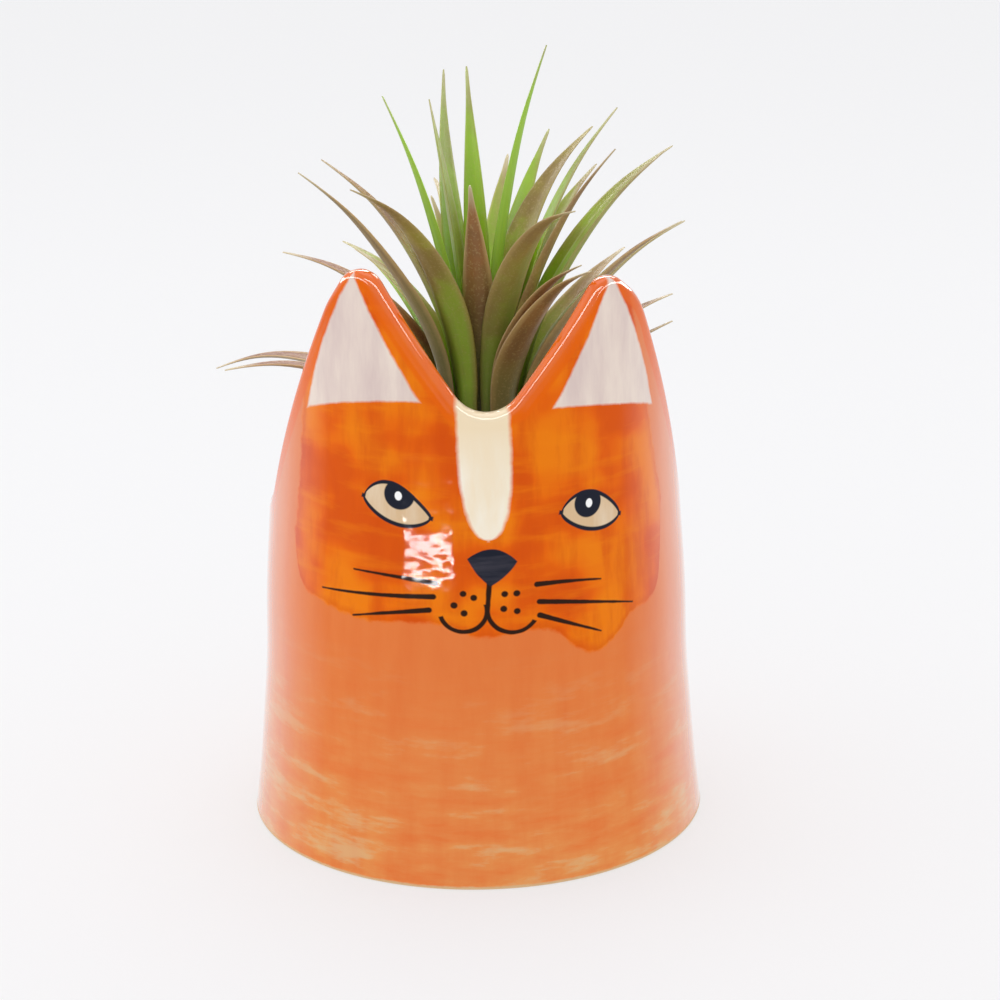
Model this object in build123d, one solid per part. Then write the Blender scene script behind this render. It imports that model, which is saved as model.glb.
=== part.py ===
"""A cat-shaped ceramic planter with a lift-out artificial succulent. Millimetres, +Z up.

The origin is the centre of the planter's foot, on the surface that it stands on.
The cat looks along -Y, and its right ear is on the -X side.
"""
import os
from math import cos, radians, sin

from build123d import *

# Ceramic pot: one slip-cast wall, round like a bell, with the rim cut into two ears.
base_radius = 60.0
waist_inset = 4.5
shoulder_inset = 6.2
crown_inset = 8.4
flare_height = 60.0
rim_height = 86.0
crown_rise = 86.0
wall = 4.8
lip_share = 0.42
floor_thickness = 6.0
floor_corner_radius = 4.5
foot_ring_width = 7.0
foot_recess_depth = 2.5
foot_edge_radius = 0.8

# Rim line, laid flat: corners of the notch and the ears, as angles from the front and as rises
# above the low rim at the back.
notch_corner_rise = 31.0
notch_radius = 10.0
ear_corner_radius = 7.0
right_ear_corner_rise = 76.6
left_ear_corner_rise = 70.8
right_ear_angle = 36.0
left_ear_angle = 36.9
right_ear_knee_angle = 48.0
left_ear_knee_angle = 51.0
right_ear_knee_share = 0.81
left_ear_knee_share = 0.87
ear_knee_radius = 22.0
ear_foot_angle = 85.0
ear_foot_radius = 14.0
back_seam_angle = 180.0

# Shares of the flare's height, and of the waist's inset left to go.
flare_shares = [(0.0, 1.0), (0.2, 0.69), (0.5, 0.33), (0.75, 0.09), (1.0, 0.0)]

# Grower's pot of thin plastic that stands on the ceramic floor and carries the plant.
liner_depth = 6.0
liner_side_clearance = 9.0
liner_taper = 7.0
liner_wall = 1.2
liner_lip_width = 2.4
liner_lip_height = 3.0
liner_drain_radius = 3.5
liner_drain_circle = 20.0
liner_drain_count = 4

# Foam block and the loose-looking cover glued on it.
foam_depth = 6.8
foam_gap = 0.3
soil_thickness = 7.0
soil_crown = 2.0
soil_gap = 0.3

# Stem: a peg in the foam with a stepped crown, one ledge for each tier of leaves.
stem_offset = 2.5
stem_radius = 3.0
stem_depth = 38.0
stem_tip_length = 5.0
stem_gap = 0.15
crown_seat_depth = 0.7
crown_base_thickness = 5.5
crown_step_height = 3.0
crown_step_width = 1.5
crown_top_radius = 2.0
crown_top_chamfer = 0.8
tier_count = 7

# Leaves: channelled blades, each with a foot that stands on its ledge and a tongue in a slot.
leaf_length = 100.0
leaf_width = 10.4
leaf_thickness = 1.1
leaf_foot_width = 4.4
leaf_tip_width = 0.7
leaf_channel_share = 0.24
leaf_hub_rise = 13.5
leaf_keel_share = 0.4
leaf_tip_share = 0.95
tongue_width = 2.0
tongue_thickness = 0.6
tongue_depth = 2.4
slot_gap = 0.1

cut_overrun = 2.0
rim_points_per_edge = 4

# Along a leaf: share of its length, of its full width, and of its full thickness.
leaf_station_shares = [
    (0.12, 0.54, 1.00),
    (0.28, 0.80, 1.00),
    (0.45, 1.00, 0.95),
    (0.62, 0.86, 0.85),
    (0.78, 0.54, 0.70),
    (0.91, 0.22, 0.50),
]

# Where a midrib holds its first rise, and where it is pinned as it falls to its last.
leaf_rise_share = 0.33
leaf_fall_shares = (0.66, 0.86, 1.0)

# Each leaf: name, tier, heading from the front, share of the leaf length, rise at a third of the
# length, rise at the tip (both in degrees above level, seen from the hub), sideways bend as a share
# of the leaf length, and share of the leaf width.
leaf_shares = [
    ("leaf_outer_01", 0, -116, 0.80, 31, 14, 0.00, 0.80),
    ("leaf_outer_02", 0, -82, 0.74, 39, 25, 0.00, 0.75),
    ("leaf_outer_03", 0, -150, 0.80, 35, 23, 0.00, 0.80),
    ("leaf_outer_04", 0, 184, 0.77, 33, 21, -0.01, 0.80),
    ("leaf_outer_05", 0, 146, 0.72, 39, 22, 0.00, 0.80),
    ("leaf_outer_06", 0, 116, 0.70, 43, 34, 0.00, 0.80),
    ("leaf_outer_07", 0, 86, 0.63, 44, 39, 0.00, 0.75),
    ("leaf_outer_08", 0, -34, 0.42, 32, 18, 0.00, 0.70),
    ("leaf_outer_09", 0, 6, 0.44, 30, 17, 0.00, 0.70),
    ("leaf_outer_10", 0, 58, 0.42, 29, 18, 0.02, 0.70),
    ("leaf_low_01", 1, -138, 0.74, 60, 45, 0.00, 0.85),
    ("leaf_low_02", 1, -65, 0.99, 67, 59, 0.00, 0.80),
    ("leaf_low_03", 1, 175, 0.82, 54, 40, -0.02, 0.85),
    ("leaf_low_04", 1, 130, 0.73, 52, 43, -0.01, 0.95),
    ("leaf_low_05", 1, 99, 0.83, 59, 49, -0.02, 0.85),
    ("leaf_low_06", 1, 32, 0.79, 65, 53, 0.01, 0.95),
    ("leaf_skirt_01", 2, -104, 0.77, 63, 47, 0.00, 0.85),
    ("leaf_skirt_02", 2, -169, 0.88, 64, 47, 0.02, 0.80),
    ("leaf_skirt_03", 2, 152, 0.81, 60, 46, -0.02, 0.90),
    ("leaf_skirt_04", 2, 114, 0.98, 66, 54, -0.02, 0.90),
    ("leaf_skirt_05", 2, 71, 0.87, 62, 53, 0.01, 0.85),
    ("leaf_middle_01", 3, -124, 0.67, 67, 54, 0.01, 0.90),
    ("leaf_middle_02", 3, -42, 0.98, 73, 59, 0.00, 1.00),
    ("leaf_middle_03", 3, 35, 0.75, 70, 57, 0.01, 0.80),
    ("leaf_middle_04", 3, 87, 0.96, 69, 61, 0.00, 0.90),
    ("leaf_middle_05", 3, 132, 0.86, 70, 59, -0.01, 0.85),
    ("leaf_middle_06", 3, -187, 0.88, 68, 56, 0.04, 0.80),
    ("leaf_inner_01", 4, -98, 0.92, 75, 64, -0.03, 0.90),
    ("leaf_inner_02", 4, -160, 0.74, 71, 63, 0.00, 0.70),
    ("leaf_inner_03", 4, 62, 0.94, 75, 68, -0.04, 0.65),
    ("leaf_inner_04", 4, 107, 1.00, 76, 68, 0.00, 0.60),
    ("leaf_inner_05", 4, 14, 0.92, 78, 59, -0.09, 0.85),
    ("leaf_inner_06", 4, 154, 0.91, 75, 66, 0.04, 0.75),
    ("leaf_upper_01", 5, -12, 0.82, 81, 77, 0.00, 0.85),
    ("leaf_upper_02", 5, -72, 1.05, 79, 75, -0.03, 0.60),
    ("leaf_upper_03", 5, -138, 1.04, 77, 80, 0.05, 0.85),
    ("leaf_upper_04", 5, 130, 0.94, 79, 64, -0.01, 1.00),
    ("leaf_heart_01", 6, -105, 0.98, 83, 82, 0.02, 0.85),
    ("leaf_heart_02", 6, 165, 1.05, 88, 86, -0.05, 0.65),
    ("leaf_heart_03", 6, 66, 1.14, 85, 81, 0.00, 0.65),
]

shoulder_radius = base_radius - shoulder_inset
rim_middle_radius = shoulder_radius - wall / 2
crown_height = rim_height + crown_rise
liner_floor = floor_thickness
liner_top = rim_height - liner_depth
liner_top_radius = shoulder_radius - wall - liner_side_clearance
liner_bottom_radius = liner_top_radius - liner_taper
foam_bottom = liner_floor + liner_wall
foam_top = liner_top - foam_depth
soil_top = foam_top + soil_thickness
crown_base_height = soil_top - crown_seat_depth
leaf_hub_height = crown_base_height + leaf_hub_rise
tier_heights = [
    crown_base_height + crown_base_thickness + crown_step_height * tier for tier in range(tier_count)
]
tier_core_radii = [
    crown_top_radius + crown_step_width * (tier_count - 1 - tier) for tier in range(tier_count)
]


def outer_wall_line():
    """The outside of the pot from the foot to above the ears."""
    flare = [
        (base_radius - waist_inset * (1 - radial), flare_height * height)
        for height, radial in flare_shares
    ]
    shoulder = (shoulder_radius, rim_height)
    crown = (base_radius - crown_inset, crown_height)
    foot_lean = Vector(*flare[1]) - Vector(*flare[0])
    crown_lean = Vector(*crown) - Vector(*shoulder)
    return Spline(*flare, shoulder, crown, tangents=[foot_lean, crown_lean])


def pot_section():
    """Half of the pot cut through its axis: an even wall, the floor and the foot ring."""
    wall_line = outer_wall_line()
    axis_side = Polyline(wall_line @ 1, (0, crown_height), (0, 0), wall_line @ 0)
    silhouette = make_face([wall_line, axis_side])
    low_corner = (Align.MIN, Align.MIN)
    above_floor = Pos(0, floor_thickness) * Rectangle(base_radius, crown_height, align=low_corner)
    foot_recess = Rectangle(base_radius - foot_ring_width, foot_recess_depth, align=low_corner)
    section = silhouette - (Pos(-wall, 0) * silhouette & above_floor) - foot_recess
    floor_corner = section.vertices().sort_by_distance((base_radius - wall, floor_thickness))[0]
    section = fillet(floor_corner, floor_corner_radius)
    foot_corner = section.vertices().sort_by_distance((base_radius, 0))[0]
    return fillet(foot_corner, foot_edge_radius)


def rim_outline():
    """The rim line laid flat: x runs round the middle of the wall, y is the height."""
    def corner(angle, rise):
        return (rim_middle_radius * radians(angle), rim_height + rise)

    return FilletPolyline(
        corner(-back_seam_angle, 0),
        corner(-ear_foot_angle, 0),
        corner(-right_ear_knee_angle, right_ear_corner_rise * right_ear_knee_share),
        corner(-right_ear_angle, right_ear_corner_rise),
        corner(0, notch_corner_rise),
        corner(left_ear_angle, left_ear_corner_rise),
        corner(left_ear_knee_angle, left_ear_corner_rise * left_ear_knee_share),
        corner(ear_foot_angle, 0),
        corner(back_seam_angle, 0),
        radius=[
            ear_foot_radius,
            ear_knee_radius,
            ear_corner_radius,
            notch_radius,
            ear_corner_radius,
            ear_knee_radius,
            ear_foot_radius,
        ],
    )


def wrapped_rim(radius):
    """The rim line as a closed curve at a radius from the pot's axis."""
    places = []
    for edge in rim_outline().edges():
        for step in range(rim_points_per_edge):
            place = edge @ (step / rim_points_per_edge)
            angle = place.X / rim_middle_radius
            places.append((radius * sin(angle), -radius * cos(angle), place.Y))
    return Spline(*places, periodic=True)


def ceramic_pot():
    """The whole pot: turned wall, floor and foot ring, with the rim cut and its lip rounded."""
    body = revolve(Plane.YZ * pot_section(), Axis.Z)
    cutter_floor = Face.make_surface_from_curves(
        wrapped_rim(rim_middle_radius - wall), wrapped_rim(rim_middle_radius + wall)
    )
    body -= extrude(cutter_floor, amount=crown_height, dir=(0, 0, 1))
    ear_level = rim_height + notch_corner_rise
    rim_edges = body.edges().filter_by(lambda edge: edge.bounding_box().max.Z > ear_level)
    return fillet(rim_edges, wall * lip_share)


def liner_pot():
    """A thin plastic grower's pot with a rolled lip and drain holes, standing on the floor."""
    bottom = Plane.XY.offset(liner_floor)
    top = Plane.XY.offset(liner_top)
    inner_bottom = bottom.offset(liner_wall)
    shell = loft([bottom * Circle(liner_bottom_radius), top * Circle(liner_top_radius)])
    hollow = loft(
        [
            inner_bottom * Circle(liner_bottom_radius - liner_wall),
            top * Circle(liner_top_radius - liner_wall),
        ]
    )
    lip_plane = top.offset(-liner_lip_height)
    lip = extrude(lip_plane * Circle(liner_top_radius + liner_lip_width - liner_wall), liner_lip_height)
    pot = shell + lip - hollow
    drains = PolarLocations(liner_drain_circle, liner_drain_count)
    drain = extrude(bottom.offset(-cut_overrun) * Circle(liner_drain_radius), liner_wall + cut_overrun * 2)
    return pot - [place * drain for place in drains]


def liner_inside_radius(height):
    """Radius of the grower's pot inside at a height above the ground."""
    share = (height - foam_bottom) / (liner_top - foam_bottom)
    return (liner_bottom_radius + (liner_top_radius - liner_bottom_radius) * share) - liner_wall


def foam_block():
    """The foam that fills the grower's pot, with a hole for the stem's peg."""
    bottom = Plane.XY.offset(foam_bottom)
    top = Plane.XY.offset(foam_top)
    block = loft(
        [
            bottom * Circle(liner_inside_radius(foam_bottom) - foam_gap),
            top * Circle(liner_inside_radius(foam_top) - foam_gap),
        ]
    )
    return block - stem_hole(stem_gap)


def soil_cover():
    """The crumbed cover on the foam: a low dome with a hole for the crown."""
    edge_radius = liner_inside_radius(foam_top) - soil_gap
    profile = make_face(
        [
            Line((0, foam_top), (edge_radius, foam_top)),
            Line((edge_radius, foam_top), (edge_radius, soil_top - soil_crown)),
            ThreePointArc(
                (edge_radius, soil_top - soil_crown),
                (edge_radius / 2, soil_top - soil_crown / 4),
                (0, soil_top),
            ),
            Line((0, soil_top), (0, foam_top)),
        ]
    )
    cover = revolve(Plane.XZ * profile, Axis.Z)
    return cover - stem_hole(stem_gap) - crown_space(soil_gap)


def stem_place(height):
    """The level plane on the stem's axis at a height."""
    return Plane(origin=(stem_offset, 0, height))


def stem_hole(gap):
    """The room for the stem's peg, with a gap all round and under its point."""
    depth_plane = stem_place(crown_base_height - stem_depth - gap)
    return extrude(depth_plane * Circle(stem_radius + gap), stem_depth + gap)


def crown_space(gap):
    """The room for the crown's lowest step, with a gap round it."""
    return extrude(
        stem_place(crown_base_height - gap) * Circle(tier_core_radii[0] + crown_step_width + gap),
        crown_base_thickness + cut_overrun,
    )


def leaf_stem():
    """The peg and its stepped crown, with a slot in each ledge for every leaf."""
    peg = extrude(stem_place(crown_base_height - stem_depth) * Circle(stem_radius), stem_depth)
    tip_edge = peg.edges().sort_by(Axis.Z)[0]
    peg = chamfer(tip_edge, length=stem_tip_length, length2=stem_radius / 2)
    crown = extrude(
        stem_place(crown_base_height) * Circle(tier_core_radii[0] + crown_step_width), crown_base_thickness
    )
    for height, radius in zip(tier_heights, tier_core_radii):
        crown += extrude(stem_place(height) * Circle(radius), crown_step_height)
    crown = chamfer(crown.edges().sort_by(Axis.Z)[-1], crown_top_chamfer)
    slots = [leaf_tongue(tier, heading, slot_gap) for _, tier, heading, *_ in leaf_shares]
    return peg + crown - slots


def foot_plane(tier, heading):
    """A level plane at a leaf's foot: x runs sideways, y runs outwards from the stem."""
    foot_radius = tier_core_radii[tier] + crown_step_width / 2
    outwards = Vector(sin(radians(heading)), -cos(radians(heading)), 0)
    origin = Vector(stem_offset, 0, tier_heights[tier]) + outwards * foot_radius
    sideways = Vector(outwards.Y, -outwards.X, 0)
    return Plane(origin=origin, x_dir=sideways, z_dir=(0, 0, 1))


def leaf_tongue(tier, heading, gap):
    """The flat tongue under a leaf's foot, or with a gap the slot that takes it."""
    plane = foot_plane(tier, heading).offset(-tongue_depth - gap)
    outline = Rectangle(tongue_width + gap * 2, tongue_thickness + gap * 2)
    return extrude(plane * outline, tongue_depth + gap + tongue_thickness)


def leaf_path(tier, heading, length_share, rise, tip_rise, bend_share):
    """The midrib of a leaf: up from its foot, out through the rises given, and bent sideways."""
    foot = foot_plane(tier, heading)
    length = leaf_length * length_share
    hub = Vector(stem_offset, 0, leaf_hub_height)

    def place(share):
        fallen = ((share - leaf_rise_share) / (1 - leaf_rise_share)) ** 2
        angle = radians(rise - (rise - tip_rise) * fallen)
        outwards = foot.y_dir * (length * share * cos(angle))
        sideways = foot.x_dir * (leaf_length * bend_share * share**2)
        return hub + outwards + sideways + Vector(0, 0, length * share * sin(angle))

    return Spline(
        foot.origin,
        place(leaf_rise_share),
        *[place(share) for share in leaf_fall_shares],
        tangents=[(0, 0, 1), place(1) - place(leaf_tip_share)],
    )


def leaf_section(plane, width, thickness):
    """A slice of the blade: a shallow channel, flat under its keel and thin at its edges."""
    keel = thickness / 2
    edge = keel - width * leaf_channel_share
    half = width / 2
    outline = Polyline(
        (-half, edge),
        (-half * leaf_keel_share, keel),
        (half * leaf_keel_share, keel),
        (half, edge),
        (0, -keel),
        close=True,
    )
    return plane * make_face(outline)


def leaf(tier, heading, length_share, rise, tip_rise, bend_share, width_share):
    """One leaf: the blade lofted along its midrib, with its tongue under the foot."""
    path = leaf_path(tier, heading, length_share, rise, tip_rise, bend_share)
    foot = foot_plane(tier, heading)
    width = leaf_width * width_share
    sections = [leaf_section(foot, leaf_foot_width, leaf_thickness)]
    for share, across, through in leaf_station_shares:
        along = path % share
        plane = Plane(origin=path @ share, x_dir=foot.x_dir, z_dir=along)
        sections.append(leaf_section(plane, width * across, leaf_thickness * through))
    tip = Plane(origin=path @ 1, x_dir=foot.x_dir, z_dir=path % 1)
    sections.append(leaf_section(tip, leaf_tip_width, leaf_tip_width / 2))
    return loft(sections) + leaf_tongue(tier, heading, 0)


def main():
    os.makedirs("parts", exist_ok=True)
    pieces = {
        "ceramic_pot": ceramic_pot(),
        "liner_pot": liner_pot(),
        "foam_block": foam_block(),
        "soil_cover": soil_cover(),
        "leaf_stem": leaf_stem(),
    }
    for name, *shape in leaf_shares:
        pieces[name] = leaf(*shape)
    for name, piece in pieces.items():
        print(name, round(piece.volume), piece.is_valid)
        export_step(piece, f"parts/{name}.step")


main()
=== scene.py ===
"""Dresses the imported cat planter: glazed and painted pot, lift-out plant, and a plain studio."""
import random
from math import atan2, cos, hypot, pi, radians, sin, sqrt

import bmesh
import bpy
import numpy as np
from bpy.props import FloatProperty, FloatVectorProperty, IntProperty, PointerProperty
from mathutils import Matrix, Vector


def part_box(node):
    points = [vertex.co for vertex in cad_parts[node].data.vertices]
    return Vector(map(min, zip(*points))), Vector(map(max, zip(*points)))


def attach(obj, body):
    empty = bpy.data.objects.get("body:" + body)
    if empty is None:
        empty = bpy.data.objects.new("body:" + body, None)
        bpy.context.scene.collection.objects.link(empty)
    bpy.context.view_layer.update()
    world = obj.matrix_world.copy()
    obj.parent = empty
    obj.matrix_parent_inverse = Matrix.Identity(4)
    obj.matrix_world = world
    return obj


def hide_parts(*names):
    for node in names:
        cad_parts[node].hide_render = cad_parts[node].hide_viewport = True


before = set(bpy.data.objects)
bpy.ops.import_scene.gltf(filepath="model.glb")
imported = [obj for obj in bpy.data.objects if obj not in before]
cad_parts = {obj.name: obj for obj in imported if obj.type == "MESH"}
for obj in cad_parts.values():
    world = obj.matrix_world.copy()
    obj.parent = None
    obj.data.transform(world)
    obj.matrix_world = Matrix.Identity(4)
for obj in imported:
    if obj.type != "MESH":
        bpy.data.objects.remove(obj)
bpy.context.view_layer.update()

bl_info = {
    "name": "Cat planter dressing",
    "version": (1, 0, 0),
    "blender": (4, 5, 0),
    "location": "View3D > Sidebar > Planter",
    "description": "Builds the glazed cat planter, its plant and a plain studio",
    "category": "Object",
}

mm = 0.001
pot_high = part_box("ceramic_pot")[1]
soil_low, soil_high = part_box("soil_cover")

# The pot's wall, floor and foot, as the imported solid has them.
waist_inset = 4.5 * mm
shoulder_inset = 6.2 * mm
crown_inset = 8.4 * mm
flare_height = 60 * mm
rim_height = 86 * mm
crown_rise = 86 * mm
lip_share = 0.42
floor_thickness = 6 * mm
floor_corner_radius = 4.5 * mm
foot_ring_width = 7 * mm
foot_recess_depth = 2.5 * mm
foot_edge_radius = 0.8 * mm
foot_bevel = 0.4 * mm
recess_bevel = 0.3 * mm
flare_shares = ((0, 1), (0.2, 0.69), (0.5, 0.33), (0.75, 0.09), (1, 0))

# The rim follows its own line above this height.
split_height = 74 * mm

# Steps up the turned wall, crowded towards the foot, then up the rim and over the lip.
wall_steps = 44
foot_crowding = 1.15
rim_steps = 30
lip_steps = 14

# Rim line: angle from the front in degrees, rise above the low rim, and rounding of each corner.
rim_corners = (
    (-180, 0, 0),
    (-85, 0, 14 * mm),
    (-48, 62 * mm, 22 * mm),
    (-36, 76.6 * mm, 7 * mm),
    (0, 31 * mm, 10 * mm),
    (36.9, 70.8 * mm, 7 * mm),
    (51, 61.6 * mm, 22 * mm),
    (85, 0, 14 * mm),
    (180, 0, 0),
)

# The stem's crown: one ledge for each tier of leaves.
stem_offset = 2.5 * mm
crown_seat_depth = 0.7 * mm
crown_base_height = soil_high.z - crown_seat_depth
crown_base_thickness = 5.5 * mm
crown_step_height = 3 * mm
crown_step_width = 1.5 * mm
crown_top_radius = 2 * mm
tier_count = 7

# The soil's dome, and the hole in it for the crown.
soil_crown = 2 * mm
crown_hole_radius = 12.9 * mm
soil_steps = 10
soil_sides = 96
crumb_sizes = (0.5, 1.3)
crumb_sink = 0.35

leaf_foot_width = 4.4 * mm
leaf_tip_width = 0.7 * mm
leaf_channel_share = 0.24
leaf_hub_height = crown_base_height + 13.5 * mm
leaf_rise_share = 0.33
leaf_fall_shares = (0.66, 0.86, 1)
leaf_tip_share = 0.95
tongue_width = 2 * mm
tongue_thickness = 0.6 * mm
tongue_depth = 2.4 * mm
leaf_sides = 16
tip_crowding = 1.25

# Marks at which the length of a smooth line is measured.
course_steps = 200

# Along a leaf: share of its length, of its full width, and of its full thickness.
leaf_stations = (
    (0.12, 0.54, 1),
    (0.28, 0.8, 1),
    (0.45, 1, 0.95),
    (0.62, 0.86, 0.85),
    (0.78, 0.54, 0.7),
    (0.91, 0.22, 0.5),
)

# Each tier of leaves, from the lowest. For each leaf: heading from the front, share of the leaf
# length, rise at a third of the length and at the tip in degrees, sideways bend and width as shares,
# then its tones from 0 to 1: russet on its upper half, lime in its lower half, umber at its base.
# The umber at each leaf's base is partly the leaf's own colour and partly painted shade, heaviest on
# the low and front leaves.
leaf_tiers = (
    ("outer", (
        (-116, 0.8, 31, 14, 0, 0.8, 0.5, 0, 0.4),
        (-82, 0.74, 39, 25, 0, 0.75, 0.6, 0, 0.5),
        (-150, 0.8, 35, 23, 0, 0.8, 0.2, 0.2, 0.3),
        (184, 0.77, 33, 21, -0.01, 0.8, 0.3, 0.2, 0.3),
        (146, 0.72, 39, 22, 0, 0.8, 0.4, 0.2, 0.4),
        (116, 0.7, 43, 34, 0, 0.8, 0.3, 0.1, 0.4),
        (86, 0.63, 44, 39, 0, 0.75, 0.3, 0.1, 0.4),
        (-34, 0.42, 32, 18, 0, 0.7, 0.4, 0.2, 0.7),
        (6, 0.44, 30, 17, 0, 0.7, 0.4, 0.2, 0.8),
        (58, 0.42, 29, 18, 0.02, 0.7, 0.4, 0.1, 0.8),
    )),
    ("low", (
        (-138, 0.74, 60, 45, 0, 0.85, 0.1, 0.6, 0.2),
        (-65, 0.99, 67, 59, 0, 0.8, 0.1, 0.1, 1),
        (175, 0.82, 54, 40, -0.02, 0.85, 0.3, 0.4, 0.2),
        (130, 0.73, 52, 43, -0.01, 0.95, 0.5, 0.3, 0.4),
        (99, 0.83, 59, 49, -0.02, 0.85, 0.4, 0.3, 0.5),
        (32, 0.79, 65, 53, 0.01, 0.95, 0.9, 0, 1),
    )),
    ("skirt", (
        (-104, 0.77, 63, 47, 0, 0.85, 0.8, 0.1, 0.6),
        (-169, 0.88, 64, 47, 0.02, 0.8, 0.3, 0.5, 0.2),
        (152, 0.81, 60, 46, -0.02, 0.9, 0.3, 0.5, 0.2),
        (114, 0.98, 66, 54, -0.02, 0.9, 0.4, 0.6, 0.2),
        (71, 0.87, 62, 53, 0.01, 0.85, 0.7, 0.1, 0.6),
    )),
    ("middle", (
        (-124, 0.67, 67, 54, 0.01, 0.9, 0.3, 0.5, 0.2),
        (-42, 0.98, 73, 59, 0, 1, 0.7, 0.6, 0.4),
        (35, 0.75, 70, 57, 0.01, 0.8, 0.9, 0.1, 0.9),
        (87, 0.96, 69, 61, 0, 0.9, 0.4, 0.7, 0.2),
        (132, 0.86, 70, 59, -0.01, 0.85, 0.3, 0.6, 0.1),
        (-187, 0.88, 68, 56, 0.04, 0.8, 0.2, 0.6, 0.1),
    )),
    ("inner", (
        (-98, 0.92, 75, 64, -0.03, 0.9, 0.7, 0.5, 0.2),
        (-160, 0.74, 71, 63, 0, 0.7, 0.2, 0.6, 0.1),
        (62, 0.94, 75, 68, -0.04, 0.65, 0.8, 0.6, 0.2),
        (107, 1, 76, 68, 0, 0.6, 0.2, 0.6, 0.1),
        (14, 0.92, 78, 59, -0.09, 0.85, 0.6, 0.4, 0.5),
        (154, 0.91, 75, 66, 0.04, 0.75, 0.2, 0.8, 0),
    )),
    ("upper", (
        (-12, 0.82, 81, 77, 0, 0.85, 1, 0.1, 0.9),
        (-72, 1.05, 79, 75, -0.03, 0.6, 0, 0.9, 0),
        (-138, 1.04, 77, 80, 0.05, 0.85, 0.3, 0.8, 0),
        (130, 0.94, 79, 64, -0.01, 1, 0.7, 1, 0),
    )),
    ("heart", (
        (-105, 0.98, 83, 82, 0.02, 0.85, 0.4, 0.8, 0),
        (165, 1.05, 88, 86, -0.05, 0.65, 0.2, 0.8, 0),
        (66, 1.14, 85, 81, 0, 0.65, 0, 1, 0),
    )),
)
leaf_slots = {
    **dict.fromkeys(
        ("outer_01", "outer_02", "outer_03", "outer_06", "outer_07", "upper_01", "low_02"), "leaf_brown"
    ),
    **dict.fromkeys(
        ("upper_03", "upper_04", "inner_06", "inner_04", "heart_02", "skirt_04", "low_05"), "leaf_green"
    ),
}
leaf_layers = ("along", "across", "upper_side", "russet", "lime", "umber")

# Paint on the wall: places are (millimetres round from the front, height in millimetres).
map_radius = 50
patch_bottom = (
    (-60, 96), (-54, 86), (-52, 78), (-48.5, 72.5), (-42.5, 71), (-30, 69), (-12, 70), (0, 66.5),
    (7, 67.5), (15.5, 67), (19.5, 63), (25, 59.5), (30, 61), (37, 67), (46, 69.5), (50, 80), (52, 92),
    (60, 100),
)
eyes = (
    # Outer and inner corner, rise and lean of each lid, middle and half size of the pupil, dot.
    ((-30, 101), (-13, 97), (5.4, -0.45), (4, 0.12), (-20.7, 102.4), (3.8, 3.8), (-20.9, 102.1)),
    ((18, 97), (34.5, 93.5), (5.5, -0.25), (3.8, 0.1), (25.2, 98.4), (3.7, 3.8), (25.5, 98.2)),
)
whiskers = (
    # Thick end, thin end, and sag of the middle.
    ((-12, 80.5), (-32.5, 81.5), 0.4),
    ((-12.5, 77), (-42, 74.5), 0.2),
    ((-13.5, 73.5), (-32.5, 69.5), 0.3),
    ((11.5, 79.5), (28, 78), -0.4),
    ((12, 75), (37.5, 69.5), -0.5),
    ((12, 71.5), (27.5, 64.5), -0.1),
)
cheek_dots = (
    (-5.6, 78), (-3.2, 77), (-7.7, 75), (-5.4, 73), (3.9, 77.7), (6.7, 77.7), (3.6, 73.9), (6.7, 73.1)
)
ears = (
    # Three corners, and how far each side bows out.
    ((-32.5, 157), (-48.5, 120), (-15.5, 126.5), (1.6, -1.4, -0.5)),
    ((48.5, 118.5), (33, 155), (16.5, 124), (1.6, -0.5, -1)),
)
nose = ((7, 85.8), (-4.6, 86.9), (0.6, 79.8), (2.9, 0.5, 0.6))
stripe_tip = 91.5
stripe_reach = 6.3

# Pieces kept as packed: node, material, its colour and paler clouds, scale of its grain, roughness.
finishes = (
    ("liner_pot", "black_liner", (26, 26, 28), (44, 44, 46), 1400, 0.42),
    ("foam_block", "dry_foam", (112, 124, 84), (142, 152, 108), 900, 0.85),
    ("leaf_stem", "stem_plastic", (74, 84, 44), (108, 112, 62), 700, 0.5),
)

# Soft lights: name, place, what they face, size in millimetres, and power in watts.
soft_lights = (
    ("overhead", (0, 150, 1100), (0, 0, 80), (900, 700), 2.0),
    ("left_box", (-900, 100, 500), (0, 0, 90), (700, 900), 0.9),
)

# Narrow lights that only show as gleams in the glaze.
gleams = (
    ("front_panel", (0, -700, 720), (0, 0, 140), (1400, 160), 7.0),
    ("back_panel", (0, 700, 700), (0, 0, 140), (1400, 160), 7.0),
    ("left_panel", (-900, 0, 290), (0, 0, 140), (1800, 180), 11.0),
    ("right_panel", (900, 0, 290), (0, 0, 140), (1800, 180), 11.0),
    ("low_card", (-132, -262, 33), (-15, -51, 86), (132, 3.4), 0.16),
)

# The camera: where it stands, what it looks at, its tilt in degrees and its lens.
camera_place = Vector((-41.87, -798.9, 352.87)) * mm
camera_target = Vector((6.54, -0.34, 84.15)) * mm
camera_roll = -0.54
camera_lens = 115.72
camera_sensor = 36


def bent(start, leave, end, reach, t):
    """A cubic from a start, left at one speed, to an end, reached at another."""
    return (
        start * (2 * t**3 - 3 * t**2 + 1)
        + leave * (t**3 - 2 * t**2 + t)
        + end * (3 * t**2 - 2 * t**3)
        + reach * (t**3 - t**2)
    )


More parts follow.
